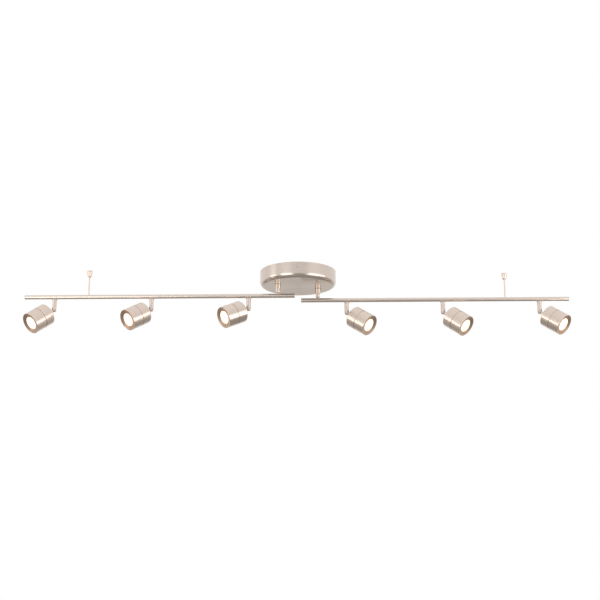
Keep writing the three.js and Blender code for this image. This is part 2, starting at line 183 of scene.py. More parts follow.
# ---------------------------------------------------------------- mesh tools
def new_object(name, vertices, faces):
    """An object made from points and faces, with its faces all turned the same way out."""
    mesh = bpy.data.meshes.new(name)
    mesh.from_pydata(vertices, [], faces)
    shape = bmesh.new()
    shape.from_mesh(mesh)
    bmesh.ops.recalc_face_normals(shape, faces=shape.faces)
    shape.to_mesh(mesh)
    shape.free()
    made = bpy.data.objects.new(name, mesh)
    bpy.context.scene.collection.objects.link(made)
    return made


def rounded(corners, closed=False, steps=FILLET_STEPS):
    """An outline with round corners. Each corner is (r, z) or (r, z, fillet radius)."""
    count = len(corners)
    outline = []
    for i, corner in enumerate(corners):
        here = Vector(corner[:2])
        inside = closed or 0 < i < count - 1
        if len(corner) < 3 or not inside:
            outline.append(tuple(here))
            continue
        before = Vector(corners[i - 1][:2]) - here
        after = Vector(corners[(i + 1) % count][:2]) - here
        half = before.angle(after) / 2
        back = corner[2] / math.tan(half)
        middle = here + (before.normalized() + after.normalized()).normalized() * corner[2] / math.sin(half)
        start = here + before.normalized() * back
        end = here + after.normalized() * back
        turn = (start - middle).angle_signed(end - middle)
        outline.append(tuple(start.lerp(here + before, HOLD_SHARE)))
        for k in range(steps + 1):
            spoke = start - middle
            spoke.rotate(Matrix.Rotation(-turn * k / steps, 2))
            outline.append(tuple(middle + spoke))
        outline.append(tuple(end.lerp(here + after, HOLD_SHARE)))
    return outline


def turned(name, outline, sides):
    """A body of revolution about Z, from an outline that ends on the axis or closes on itself."""
    vertices = []
    rings = []
    for r, z in outline:
        around = sides if r > ON_AXIS else 1
        rings.append(range(len(vertices), len(vertices) + around))
        for k in range(around):
            angle = 2 * math.pi * k / sides
            vertices.append((r * math.cos(angle), r * math.sin(angle), z))
    if outline[0][0] > ON_AXIS:
        rings.append(rings[0])
    faces = []
    for low, high in zip(rings, rings[1:]):
        if len(low) == len(high) == 1:
            continue
        for k in range(sides):
            after = (k + 1) % sides
            corners = (low[k % len(low)], low[after % len(low)],
                       high[after % len(high)], high[k % len(high)])
            # A ring that is one point on the axis gives a triangle.
            faces.append(tuple(dict.fromkeys(corners)))
    return new_object(name, vertices, faces)


def block(low, high):
    """A cutting box from its lowest corner to its highest one."""
    made = bmesh.new()
    bmesh.ops.create_cube(made, size=1)
    low, high = Vector(low), Vector(high)
    for vertex in made.verts:
        vertex.co = [low[i] + (vertex.co[i] + 0.5) * (high[i] - low[i]) for i in range(3)]
    mesh = bpy.data.meshes.new("tool")
    made.to_mesh(mesh)
    made.free()
    tool = bpy.data.objects.new("tool", mesh)
    bpy.context.scene.collection.objects.link(tool)
    return tool


def placed(piece, place):
    """Moves a piece's mesh, not its object, by a matrix."""
    piece.data.transform(place)
    return piece


def applied(piece):
    """Makes a piece's modifiers part of its mesh."""
    graph = bpy.context.evaluated_depsgraph_get()
    mesh = bpy.data.meshes.new_from_object(piece.evaluated_get(graph))
    piece.modifiers.clear()
    piece.data = mesh


def combined(piece, tool, operation):
    """Cuts a piece with a tool, or joins them, and removes the tool."""
    modifier = piece.modifiers.new("combine", "BOOLEAN")
    modifier.operation = operation
    modifier.solver = "EXACT"
    modifier.object = tool
    applied(piece)
    bpy.data.objects.remove(tool)
    return piece


def eased(piece, width):
    """Breaks a piece's sharp edges."""
    modifier = piece.modifiers.new("ease", "BEVEL")
    modifier.width = width
    modifier.segments = 2
    modifier.limit_method = "ANGLE"
    modifier.angle_limit = BEVEL_ANGLE
    modifier.use_clamp_overlap = True
    applied(piece)


def along_y(radius, half):
    """A round tool for a pin hole, along Y."""
    tool = turned("tool", [(0, -half), (radius, -half), (radius, half), (0, half)], PIN_HOLE_SIDES)
    return placed(tool, Matrix.Rotation(math.pi / 2, 4, "X"))


def settled(piece, place, body, material, node):
    """Puts a finished piece in its place, on its body, with its finish, instead of its CAD node."""
    for polygon in piece.data.polygons:
        polygon.use_smooth = True
    piece.data.set_sharp_from_angle(angle=SMOOTH_ANGLE)
    piece.data.materials.clear()
    piece.data.materials.append(material)
    piece.matrix_world = place
    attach(piece, body)
    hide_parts(node)


# ---------------------------------------------------------------- materials
FINE_ARCS = 5.0                 # how fast the grain changes on the way round: slowly, so it runs in rings
COARSE_ARCS = 1.2
FINE_SHARE = 0.65               # of the fine grain in the colour and the gloss
NICKEL_DARK = 0.94
NICKEL_LIGHT = 1.04
NICKEL_GLOSS = 0.03             # the grain moves the roughness this far each way
QUARTER_TURN = 0.25
LENS_GLOW = (                   # colour by the share of the way from the middle to the bezel
    (0.0, (1.0, 0.95, 0.84)),
    (0.46, (1.0, 0.9, 0.7)),
    (0.7, (0.66, 0.46, 0.24)),
    (0.95, (0.41, 0.2, 0.08)),
)
LENS_STRENGTH = 1.5


class Nodes:
    """A small helper that adds and links shader nodes."""

    def __init__(self, name):
        self.material = bpy.data.materials.new(name)
        self.material.use_nodes = True
        self.tree = self.material.node_tree
        self.shader = self.tree.nodes["Principled BSDF"]

    def add(self, kind, inputs=None, **settings):
        node = self.tree.nodes.new(kind)
        for key, value in settings.items():
            setattr(node, key, value)
        for key, value in (inputs or {}).items():
            if isinstance(value, bpy.types.NodeSocket):
                self.tree.links.new(value, node.inputs[key])
            else:
                node.inputs[key].default_value = value
        return node

    def link(self, socket, target):
        self.tree.links.new(socket, target)

    def maths(self, operation, first, second=0.0):
        return self.add("ShaderNodeMath", {0: first, 1: second}, operation=operation).outputs[0]

    def ramp(self, value, stops):
        node = self.add("ShaderNodeValToRGB", {0: value})
        while len(node.color_ramp.elements) < len(stops):
            node.color_ramp.elements.new(0.5)
        for element, (place, colour) in zip(node.color_ramp.elements, stops):
            element.position = place
            element.color = (*colour, 1)
        return node.outputs[0]

    def spread(self, value, low, high):
        """Brings a 0 to 1 value into a range."""
        node = self.add("ShaderNodeMapRange", {"Value": value, "To Min": low, "To Max": high})
        return node.outputs["Result"]

    def relief(self, height, strength, distance):
        """Gives the surface a fine relief."""
        bump = self.add("ShaderNodeBump", {"Height": height, "Strength": strength, "Distance": distance})
        self.link(bump.outputs[0], self.shader.inputs["Normal"])


def from_axis(nodes, x, y):
    """The distance from the piece's Z axis."""
    squares = nodes.maths("ADD", nodes.maths("MULTIPLY", x, x), nodes.maths("MULTIPLY", y, y))
    return nodes.maths("SQRT", squares)


def turned_grain(nodes, fine, coarse):
    """Two noise values that run in rings about the piece's Z axis, as a lathe or a belt leaves them."""
    place = nodes.add("ShaderNodeTexCoord").outputs["Object"]
    x, y, z = nodes.add("ShaderNodeSeparateXYZ", {0: place}).outputs
    radius = from_axis(nodes, x, y)
    east = nodes.maths("DIVIDE", x, radius)
    north = nodes.maths("DIVIDE", y, radius)
    grains = []
    for scale, arcs in ((fine, FINE_ARCS), (coarse, COARSE_ARCS)):
        ring = nodes.add("ShaderNodeCombineXYZ", {
            0: nodes.maths("MULTIPLY", east, arcs),
            1: nodes.maths("MULTIPLY", north, arcs),
            2: nodes.maths("MULTIPLY", radius, scale),
        })
        along = nodes.maths("MULTIPLY", z, scale)
        noise = nodes.add("ShaderNodeTexNoise", {
            "Vector": ring.outputs[0], "W": along, "Scale": 1.0, "Detail": 3.0,
        }, noise_dimensions="4D")
        grains.append(noise.outputs["Fac"])
    return grains


def brushed_nickel(name, tint, roughness, grain, relief, stretch):
    """Warm nickel plate: a brushed grain in rings, in its colour and gloss, and a stretched highlight."""
    nodes = Nodes(name)
    fine, coarse = turned_grain(nodes, grain, grain / 8)
    both = nodes.maths("ADD", nodes.maths("MULTIPLY", fine, FINE_SHARE),
                       nodes.maths("MULTIPLY", coarse, 1 - FINE_SHARE))
    dark = [channel * NICKEL_DARK for channel in tint]
    light = [min(1, channel * NICKEL_LIGHT) for channel in tint]
    colour = nodes.ramp(both, [(0.35, dark), (0.5, tint), (0.66, light)])
    nodes.link(colour, nodes.shader.inputs["Base Color"])
    gloss = nodes.spread(both, roughness - NICKEL_GLOSS, roughness + NICKEL_GLOSS)
    nodes.link(gloss, nodes.shader.inputs["Roughness"])
    nodes.relief(fine, relief, 0.1 * MM)
    tangent = nodes.add("ShaderNodeTangent", direction_type="RADIAL", axis="Z")
    nodes.link(tangent.outputs[0], nodes.shader.inputs["Tangent"])
    nodes.shader.inputs["Metallic"].default_value = 1.0
    nodes.shader.inputs["Anisotropic"].default_value = stretch
    nodes.shader.inputs["Anisotropic Rotation"].default_value = QUARTER_TURN
    return nodes.material


def plain_metal(name, tint, roughness, mottle):
    """Zinc plate or cast aluminium: a crystalline mottle in colour and gloss."""
    nodes = Nodes(name)
    place = nodes.add("ShaderNodeTexCoord").outputs["Object"]
    spangle = nodes.add("ShaderNodeTexVoronoi", {"Vector": place, "Scale": mottle})
    cloud = nodes.add("ShaderNodeTexNoise", {"Vector": place, "Scale": mottle * 3, "Detail": 4.0})
    mixed = nodes.maths("ADD", nodes.maths("MULTIPLY", spangle.outputs["Color"], 0.4),
                        nodes.maths("MULTIPLY", cloud.outputs["Fac"], 0.6))
    colour = nodes.ramp(mixed, [(0.3, [channel * 0.82 for channel in tint]), (0.7, tint)])
    nodes.link(colour, nodes.shader.inputs["Base Color"])
    nodes.link(nodes.spread(mixed, roughness - 0.08, roughness + 0.12), nodes.shader.inputs["Roughness"])
    nodes.relief(cloud.outputs["Fac"], 0.12, 0.2 * MM)
    nodes.shader.inputs["Metallic"].default_value = 1.0
    return nodes.material


def moulded(name, tint, roughness, texture):
    """Matt moulded or painted casing with a fine pebbled surface."""
    nodes = Nodes(name)
    place = nodes.add("ShaderNodeTexCoord").outputs["Object"]
    pebble = nodes.add("ShaderNodeTexNoise", {"Vector": place, "Scale": texture, "Detail": 3.0})
    shade = [channel * 0.93 for channel in tint]
    colour = nodes.ramp(pebble.outputs["Fac"], [(0.35, shade), (0.65, tint)])
    nodes.link(colour, nodes.shader.inputs["Base Color"])
    gloss = nodes.spread(pebble.outputs["Fac"], roughness - 0.08, roughness + 0.08)
    nodes.link(gloss, nodes.shader.inputs["Roughness"])
    nodes.relief(pebble.outputs["Fac"], 0.2, 0.2 * MM)
    return nodes.material


def lit_lens(name, radius):
    """Frosted lens with the lamp on: white in the middle, amber towards its edge, with a fine frost."""
    nodes = Nodes(name)
    place = nodes.add("ShaderNodeTexCoord").outputs["Object"]
    x, y, _ = nodes.add("ShaderNodeSeparateXYZ", {0: place}).outputs
    share = nodes.maths("DIVIDE", from_axis(nodes, x, y), radius)
    frost = nodes.add("ShaderNodeTexVoronoi", {"Vector": place, "Scale": 900.0})
    wavy = nodes.maths("ADD", share, nodes.maths("MULTIPLY", frost.outputs["Distance"], 0.05))
    nodes.link(nodes.ramp(wavy, LENS_GLOW), nodes.shader.inputs["Emission Color"])
    nodes.shader.inputs["Emission Strength"].default_value = LENS_STRENGTH
    nodes.shader.inputs["Base Color"].default_value = (0.9, 0.88, 0.82, 1)
    nodes.shader.inputs["Roughness"].default_value = 0.35
    nodes.relief(frost.outputs["Distance"], 0.3, 0.2 * MM)
    return nodes.material


# Nickel: tint, roughness, grain per metre, relief of the grain, stretch of the highlight.
canopy_nickel = brushed_nickel("canopy_nickel", (0.67, 0.58, 0.515), 0.25, 1400, 0.06, 0.3)
bar_nickel = brushed_nickel("bar_nickel", (0.73, 0.64, 0.575), 0.26, 1500, 0.02, 0.5)
stem_nickel = brushed_nickel("stem_nickel", (0.69, 0.595, 0.54), 0.34, 1500, 0.06, 0.3)
head_nickel = brushed_nickel("head_nickel", (0.73, 0.615, 0.54), 0.23, 1300, 0.03, 0.5)
# Painted shade: a darker, browner copy of the head's nickel for the recessed dish of the bezel.
bezel_nickel = brushed_nickel("bezel_nickel", (0.52, 0.37, 0.27), 0.38, 1600, 0.1, 0.3)
support_nickel = brushed_nickel("support_nickel", (0.76, 0.63, 0.56), 0.4, 1800, 0.06, 0.2)
# The rest: tint, roughness, scale of the texture per metre.
zinc_steel = plain_metal("zinc_steel", (0.62, 0.64, 0.67), 0.4, 160)
screw_steel = plain_metal("screw_steel", (0.66, 0.62, 0.58), 0.3, 500)
heat_sink = plain_metal("heat_sink", (0.42, 0.43, 0.44), 0.5, 300)
driver_case = moulded("driver_case", (0.82, 0.81, 0.78), 0.5, 900)
terminal_plastic = moulded("terminal_plastic", (0.78, 0.74, 0.64), 0.45, 1200)
lens_glow = lit_lens("lit_lens", BEZEL_OPENING)


# ---------------------------------------------------------------- canopy and what it covers
def canopy_pan():
    """Pressed pan, open towards the ceiling, with a rounded lower edge and a hole for each post."""
    radius, low, _ = reach("canopy_shell", Matrix())
    inner = radius - CANOPY_WALL
    pan = turned("canopy_pan", rounded([
        (0, low), (radius, low, CANOPY_EDGE), (radius, 0, 0.3 * MM), (inner, 0, 0.3 * MM),
        (inner, low + CANOPY_WALL, CANOPY_EDGE - CANOPY_WALL), (0, low + CANOPY_WALL),
    ], steps=CANOPY_EDGE_STEPS), CANOPY_SIDES)
    for arm in ARMS:
        x, y, _ = arm_frame(arm).translation
        outline = [(0, 2 * low), (POST_HOLE, 2 * low), (POST_HOLE, low / 2), (0, low / 2)]
        hole = turned("tool", outline, SMALL_SIDES)
        combined(pan, placed(hole, Matrix.Translation((x, y, 0))), "DIFFERENCE")
    settled(pan, Matrix(), "canopy", canopy_nickel, "canopy_shell")


def side_screw(end):
    """Round-headed screw with a driver slot, drawn along its own Z and turned to face out of the wall."""
    node = f"canopy_screw_{end}"
    low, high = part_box(node)
    centre = (low + high) / 2
    outward = -1 if centre.y < 0 else 1
    seat = reach("canopy_shell", Matrix())[0]
    head_radius = (high.x - low.x) / 2
    tip = max(abs(low.y), abs(high.y)) - seat
    tail = min(abs(low.y), abs(high.y)) - seat
    screw = turned(f"side_screw_{end}", rounded([
        (0, tip), (head_radius * SCREW_CROWN, tip, SCREW_DOME),
        (head_radius, tip * SCREW_SHOULDER, 0.6 * MM),
        (head_radius, EASE, 0.2 * MM), (SCREW_SHANK, EASE), (SCREW_SHANK, tail, 0.3 * MM), (0, tail),
    ]), SMALL_SIDES)
    slot_low = (-2 * head_radius, -SCREW_SLOT / 2, tip * SCREW_SLOT_FLOOR)
    slot_high = (2 * head_radius, SCREW_SLOT / 2, 2 * tip)
    combined(screw, block(slot_low, slot_high), "DIFFERENCE")
    turn = Matrix.Rotation(-outward * math.pi / 2, 4, "X")
    place = Matrix.Translation((centre.x, outward * seat, centre.z)) @ turn
    settled(screw, place, "canopy", screw_steel, node)


def eased_copy(node, name, width, body, material):
    """A CAD solid whose flat sides are right, with its edges broken."""
    mesh = frame["nodes"][node].data.copy()
    piece = bpy.data.objects.new(name, mesh)
    bpy.context.scene.collection.objects.link(piece)
    shape = bmesh.new()
    shape.from_mesh(mesh)
    bmesh.ops.remove_doubles(shape, verts=shape.verts, dist=WELD)
    bmesh.ops.dissolve_limit(shape, angle_limit=FLAT_ANGLE, verts=shape.verts, edges=shape.edges)
    shape.to_mesh(mesh)
    shape.free()
    eased(piece, width)
    settled(piece, Matrix(), body, material, node)


# ---------------------------------------------------------------- knuckles
def knuckle_fork(piece, pin_z):
    """Cuts the slot and the pin hole of a fork into the round end of a shaft that points down."""
    half = TONGUE_THICK / 2 + EASE
    roof = pin_z + TONGUE_RADIUS + FORK_ROOF
    slot = block((-CUT_REACH, -half, pin_z - CUT_REACH), (CUT_REACH, half, roof))
    combined(piece, slot, "DIFFERENCE")
    hole = placed(along_y(PIN_RADIUS + EASE, CUT_REACH), Matrix.Translation((0, 0, pin_z)))
    combined(piece, hole, "DIFFERENCE")


def knuckle_tongue(pin_z, depth):
    """A tongue in the XZ plane: round about its pin, straight down to depth below it."""
    turns = [math.pi * k / TONGUE_STEPS for k in range(TONGUE_STEPS + 1)]
    arc = [(TONGUE_RADIUS * math.cos(turn), TONGUE_RADIUS * math.sin(turn)) for turn in turns]
    outline = [(TONGUE_RADIUS, -depth), *arc, (-TONGUE_RADIUS, -depth)]
    count = len(outline)
    vertices = [(x, side * TONGUE_THICK / 2, pin_z + z) for side in (-1, 1) for x, z in outline]
    faces = [tuple(range(count)), tuple(range(count, 2 * count))]
    faces += [(k, (k + 1) % count, count + (k + 1) % count, count + k) for k in range(count)]
    tongue = new_object("tool", vertices, faces)
    hole = placed(along_y(PIN_RADIUS + EASE, TONGUE_THICK), Matrix.Translation((0, 0, pin_z)))
    return combined(tongue, hole, "DIFFERENCE")


def pin(name, half):
    """A fork's cross pin with rounded ends, along Y."""
    made = turned(name, rounded([
        (0, -half), (PIN_RADIUS, -half, 0.7 * MM), (PIN_RADIUS, half, 0.7 * MM), (0, half),
    ]), PIN_SIDES)
    return placed(made, Matrix.Rotation(math.pi / 2, 4, "X"))


def ball_end(radius, centre_z):
    """Outline points of a shaft's round lower end, down to the wire bore."""
    last = -math.acos(WIRE_BORE / radius)
    turns = [last * k / BALL_STEPS for k in range(BALL_STEPS + 1)]
    return [(radius * math.cos(turn), centre_z + radius * math.sin(turn)) for turn in turns]


# ---------------------------------------------------------------- one arm
def pivot_post(arm):
    """Stub through the canopy, collar under it, and a forked round end."""
    place = arm_frame(arm)
    collar_radius, _, top = reach(f"{arm}_pivot_post", place)
    pin_z = joints[f"{arm}_arm_level"]["pos_m"][2]
    fork_radius = pin_z - reach(f"{arm}_knuckle_pin", place)[1] + FORK_WALL
    collar_top = reach("canopy_shell", Matrix())[1] - EASE
    collar_low = collar_top - COLLAR_LONG
    post = turned(f"{arm}_swing_post", [
        *rounded([
            (WIRE_BORE, top), (STUB_RADIUS, top, 0.5 * MM), (STUB_RADIUS, collar_top),
            (collar_radius, collar_top, 0.4 * MM), (collar_radius, collar_low, 0.9 * MM),
            (fork_radius, collar_low, 0.3 * MM), (fork_radius, pin_z + fork_radius / 4),
        ]),
        *ball_end(fork_radius, pin_z),
    ], SHAFT_SIDES)
    knuckle_fork(post, pin_z)
    settled(post, place, f"{arm}_post", bar_nickel, f"{arm}_pivot_post")
    dowel = pin(f"{arm}_knuckle_dowel", fork_radius - PIN_INSET)
    settled(dowel, place @ Matrix.Translation((0, 0, pin_z)), f"{arm}_post", screw_steel,
            f"{arm}_knuckle_pin")


def saddle(x, centre_z, tube_radius, neck_low, lay):
    """One saddle under the bar: a round skirt wrapped on the tube, with a neck below it for a stem."""
    wrap = placed(turned("tool", [
        (0, x - 2 * SADDLE_RADIUS), (tube_radius + SADDLE_THICK, x - 2 * SADDLE_RADIUS),
        (tube_radius + SADDLE_THICK, x + 2 * SADDLE_RADIUS), (0, x + 2 * SADDLE_RADIUS),
    ], SHAFT_SIDES), lay)
    skirt = turned("saddle", [
        (0, centre_z - tube_radius - SADDLE_THICK), (SADDLE_RADIUS, centre_z - tube_radius - SADDLE_THICK),
        (SADDLE_RADIUS, centre_z), (0, centre_z),
    ], SHAFT_SIDES)
    placed(skirt, Matrix.Translation((x, 0, 0)))
    combined(skirt, wrap, "INTERSECT")
    neck = turned("tool", rounded([
        (0, neck_low), (NECK_RADIUS, neck_low, 0.25 * MM),
        (NECK_RADIUS, neck_low + SADDLE_NECK * NECK_STRAIGHT, SADDLE_FILLET),
        (SADDLE_RADIUS - SADDLE_EDGE, centre_z - tube_radius + BAR_WALL / 3),
        (0, centre_z - tube_radius + BAR_WALL / 3),
    ]), SHAFT_SIDES)
    return combined(skirt, placed(neck, Matrix.Translation((x, 0, 0))), "UNION")


def drilled(piece, x, radius, low, high):
    """Drills a round hole through one wall of a piece, at a place along the arm."""
    drill = turned("tool", [(0, low), (radius, low), (radius, high), (0, high)], SMALL_SIDES)
    combined(piece, placed(drill, Matrix.Translation((x, 0, 0))), "DIFFERENCE")


def bar(arm):
    """Tube with the knuckle's tongue, three saddles and an end cap at each end, laid along the arm."""
    place = arm_frame(arm)
    along = place.inverted()
    cap_low, cap_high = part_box(f"{arm}_outer_cap")
    tube_radius = (cap_high - cap_low).z / 2
    centre_z = (cap_low.z + cap_high.z) / 2
    ends = [(along @ corner).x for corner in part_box(f"{arm}_bar")]
    inner_end, outer_end = min(ends), max(ends)
    head_places = [(along @ Vector(joints[f"{arm}_{head}_head_swivel"]["pos_m"])).x for head in HEADS]
    rod_low, rod_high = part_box(f"{arm}_support_rod")
    pin_z = joints[f"{arm}_arm_level"]["pos_m"][2]
    neck_low = centre_z - tube_radius - SADDLE_NECK
    bore = tube_radius - BAR_WALL
    # The bar's own frame: Z along the arm, so that the brushed grain runs in rings about the tube.
    lay = Matrix.Translation((0, 0, centre_z)) @ Matrix.Rotation(math.pi / 2, 4, "Y")
    tube = placed(turned(f"{arm}_bar_tube", rounded([
        (bore, inner_end), (tube_radius, inner_end, 0.3 * MM), (tube_radius, outer_end, 0.3 * MM),
        (bore, outer_end),
    ], closed=True), SHAFT_SIDES), lay)
    combined(tube, knuckle_tongue(pin_z, pin_z - centre_z - tube_radius + BAR_WALL / 2), "UNION")
    for x in head_places:
        combined(tube, saddle(x, centre_z, tube_radius, neck_low, lay), "UNION")
    hollow = placed(turned("tool", [
        (0, inner_end - SADDLE_RADIUS), (bore, inner_end - SADDLE_RADIUS),
        (bore, outer_end + SADDLE_RADIUS), (0, outer_end + SADDLE_RADIUS),
    ], SHAFT_SIDES), lay)
    combined(tube, hollow, "DIFFERENCE")
    for x in head_places:
        drilled(tube, x, SPIGOT_HOLE, neck_low - SADDLE_RADIUS, centre_z)
    drilled(tube, (along @ ((rod_low + rod_high) / 2)).x, ROD_HOLE, centre_z, 0)
    placed(tube, lay.inverted())
    settled(tube, place @ lay, f"{arm}_arm", bar_nickel, f"{arm}_bar")
    for end, at in (("outer", outer_end), ("inner", inner_end)):
        bar_plug(arm, end, place @ lay, tube_radius, bore, at)


def bar_plug(arm, end, place, radius, bore, at):
    """End cap: a disc with a rounded rim and a plug behind it. Its own +Z points out of the tube."""
    plug = bore - EASE
    cap = turned(f"{arm}_{end}_end_plug", rounded([
        (0, -PLUG_LONG), (plug, -PLUG_LONG, 0.5 * MM), (plug, EASE), (radius, EASE, 0.1 * MM),
        (radius, EASE + CAP_THICK, 0.6 * MM), (0, EASE + CAP_THICK),
    ]), SHAFT_SIDES)
    flip = Matrix() if end == "outer" else Matrix.Rotation(math.pi, 4, "X")
    settled(cap, place @ Matrix.Translation((0, 0, at)) @ flip, f"{arm}_arm", bar_nickel,
            f"{arm}_{end}_cap")


def ceiling_support(arm):
    """Thin rod up from the bar, and the round foot that slides on it and meets the ceiling."""
    low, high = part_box(f"{arm}_support_rod")
    centre = (low + high) / 2
    radius = (high.x - low.x) / 2
    place = Matrix.Translation((centre.x, centre.y, 0))
    rod = turned(f"{arm}_thin_rod", rounded([
        (0, low.z), (radius, low.z, 0.4 * MM), (radius, high.z, 0.4 * MM), (0, high.z),
    ]), PIN_SIDES)
    settled(rod, place, f"{arm}_arm", support_nickel, f"{arm}_support_rod")
    top_radius, bottom, _ = reach(f"{arm}_support_foot", place)
    foot = turned(f"{arm}_ceiling_foot", rounded([
        (0, -FOOT_SCREW_DEEP), (FOOT_SCREW_RADIUS, -FOOT_SCREW_DEEP), (FOOT_SCREW_RADIUS, 0),
        (top_radius, 0, 0.4 * MM), (top_radius, -FOOT_RIM, 1 * MM),
        (FOOT_WAIST_RADIUS, bottom + FOOT_WAIST_UP, FOOT_FILLET), (FOOT_TIP_RADIUS, bottom, 0.7 * MM),
        (ROD_HOLE, bottom, 0.3 * MM), (ROD_HOLE, bottom + FOOT_BORE_DEEP), (0, bottom + FOOT_BORE_DEEP),
    ]), SHAFT_SIDES)
    settled(foot, place, f"{arm}_foot", support_nickel, f"{arm}_support_foot")


# ---------------------------------------------------------------- one head
def stem(head, arm):
    """Spigot up into the bar, and a shaft with a forked round end."""
    place = swivel_frame(head)
    shaft_radius, _, top = reach(f"{head}_stem", place)
    saddle_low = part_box(f"{arm}_bar")[0].z - place.translation.z
    shoulder = saddle_low - EASE
    shaft = turned(f"{head}_swivel_stem", [
        *rounded([
            (WIRE_BORE, top), (SPIGOT_HOLE - EASE, top, 0.4 * MM), (SPIGOT_HOLE - EASE, shoulder),
            (shaft_radius, shoulder, 0.35 * MM), (shaft_radius, shaft_radius),
        ]),
        *ball_end(shaft_radius, 0),
    ], SHAFT_SIDES)
    knuckle_fork(shaft, 0)
    settled(shaft, place, f"{head}_swivel", stem_nickel, f"{head}_stem")
    dowel = pin(f"{head}_tilt_dowel", shaft_radius - PIN_INSET)
    settled(dowel, place, f"{head}_swivel", screw_steel, f"{head}_tilt_pin")


def rear_housing(head):
    """Rear half of the head: tongue and boss, the groove's step, and a sleeve inside the front half."""
    place = head_frame(head)
    radius, sleeve_end, _ = reach(f"{head}_rear_housing", place)
    _, front, shroud_start = reach(f"{head}_front_shroud", place)
    back = front + HEAD_LONG
    rear_end = shroud_start + HEAD_GROOVE
    sleeve = radius - HEAD_WALL - EASE
    step = radius - GROOVE_DEEP
    step_end = shroud_start + EASE
    inside = radius - HEAD_WALL
    shell = turned(f"{head}_rear_can", rounded([
        (0, back + BOSS_LONG), (BOSS_RADIUS, back + BOSS_LONG, BOSS_FILLET), (BOSS_RADIUS, back, BOSS_ROOT),
        (radius, back, HEAD_BACK_FILLET), (radius, rear_end, 0.4 * MM), (step, rear_end, 0.3 * MM),
        (step, step_end), (sleeve, step_end), (sleeve, sleeve_end, 0.3 * MM),
        (sleeve - SLEEVE_WALL, sleeve_end), (sleeve - SLEEVE_WALL, rear_end + HEAD_WALL),
        (inside, rear_end + 2 * HEAD_WALL), (inside, back - HEAD_BACK_WALL, 1 * MM),
        (0, back - HEAD_BACK_WALL),
    ]), HEAD_SIDES)
    combined(shell, knuckle_tongue(0, -back - BOSS_LONG + TONGUE_SINK), "UNION")
    settled(shell, place, f"{head}_head", head_nickel, f"{head}_rear_housing")


def front_shroud(head):
    """Front half of the head, with the dished bezel inside its rim; the dish wears a darker nickel as painted
    shade.
    """
    place = head_frame(head)
    radius, front, start = reach(f"{head}_front_shroud", place)
    bore = radius - HEAD_WALL
    dish = front + BEZEL_DISH
    shell = turned(f"{head}_front_can", rounded([
        (radius, start, 0.4 * MM), (radius, front, 0.6 * MM), (radius - BEZEL_RIM, front, 0.3 * MM),
        (BEZEL_OPENING, dish, 0.4 * MM), (BEZEL_OPENING, dish + BEZEL_PLATE), (bore, dish + BEZEL_PLATE),
        (bore, start, 0.2 * MM),
    ], closed=True), HEAD_SIDES)
    settled(shell, place, f"{head}_head", head_nickel, f"{head}_front_shroud")
    # The dish inside the rim gets the darker nickel, painted shade of the recess.
    shell.data.materials.append(bezel_nickel)
    for face in shell.data.polygons:
        out = math.hypot(face.center.x, face.center.y)
        if BEZEL_OPENING < out < radius - BEZEL_RIM - BEZEL_RIM_EDGE and face.center.z < dish:
            face.material_index = 1


def glowing_lens(head):
    """Domed disc in the bezel's opening, held by a flange behind the bezel."""
    place = head_frame(head)
    flange, _, back = reach(f"{head}_lens", place)
    face = flange - LENS_FLANGE
    edge = reach(f"{head}_front_shroud", place)[1] + BEZEL_DISH
    seat = edge + BEZEL_PLATE + EASE
    bow = [(face * k / LENS_STEPS, edge - LENS_DOME * (1 - (k / LENS_STEPS) ** 2))
           for k in range(LENS_STEPS)]
    disc = turned(f"{head}_frosted_lens", [
        *bow,
        *rounded([
            (face * LENS_FLAT, edge), (face, edge, 0.2 * MM), (face, seat), (flange, seat, 0.2 * MM),
            (flange, back, 0.2 * MM), (0, back),
        ]),
    ], LENS_SIDES)
    settled(disc, place, f"{head}_head", lens_glow, f"{head}_lens")


def carried(node, material):
    """A CAD node whose own shape is right gets its material and smooth round sides."""
    mesh = frame["nodes"][node].data
    mesh.materials.clear()
    mesh.materials.append(material)
    for polygon in mesh.polygons:
        polygon.use_smooth = True
    mesh.set_sharp_from_angle(angle=CARRIED_SMOOTH_ANGLE)


# ---------------------------------------------------------------- the whole light
canopy_pan()
side_screw("front")
side_screw("back")
eased_copy("mounting_strap", "ceiling_strap", STRAP_EDGE, "canopy", zinc_steel)
eased_copy("driver", "led_driver", DRIVER_EDGE, "canopy", driver_case)
eased_copy("terminal_block", "wire_terminals", TERMINAL_EDGE, "canopy",
           terminal_plastic)
for arm in ARMS:
    pivot_post(arm)
    eased_copy(f"{arm}_pivot_nut", f"{arm}_post_nut", NUT_EDGE, f"{arm}_post", zinc_steel)
    carried(f"{arm}_pivot_washer", zinc_steel)
    bar(arm)
    ceiling_support(arm)
    for place_on_bar in HEADS:
        name = f"{arm}_{place_on_bar}"
        stem(name, arm)
        rear_housing(name)
        front_shroud(name)
        glowing_lens(name)
        carried(f"{name}_led_module", heat_sink)


# ---------------------------------------------------------------- studio
FLOOR_Z = -4.2
FLOOR_HALF = 60
FLOOR_TINT = (0.9, 0.9, 0.89, 1)
FLOOR_ROUGHNESS = 0.9
CENTRE = (0, 0, -0.1)           # the softboxes face this point
SOFTBOX_AWAY = 3.3
LAMP_TINT = (1, 0.965, 0.91)
SOFTBOXES = (                   # name, bearing and angle above level, width and height, watts
    ("left_side_softbox", -77, -1, 1.1, 1.6, 11),
    ("right_side_softbox", 77, -8, 1.1, 1.6, 11),
    ("left_front_softbox", -34, -16, 2.0, 3.0, 34),
    ("right_front_softbox", 50, -16, 2.2, 3.0, 36),
)
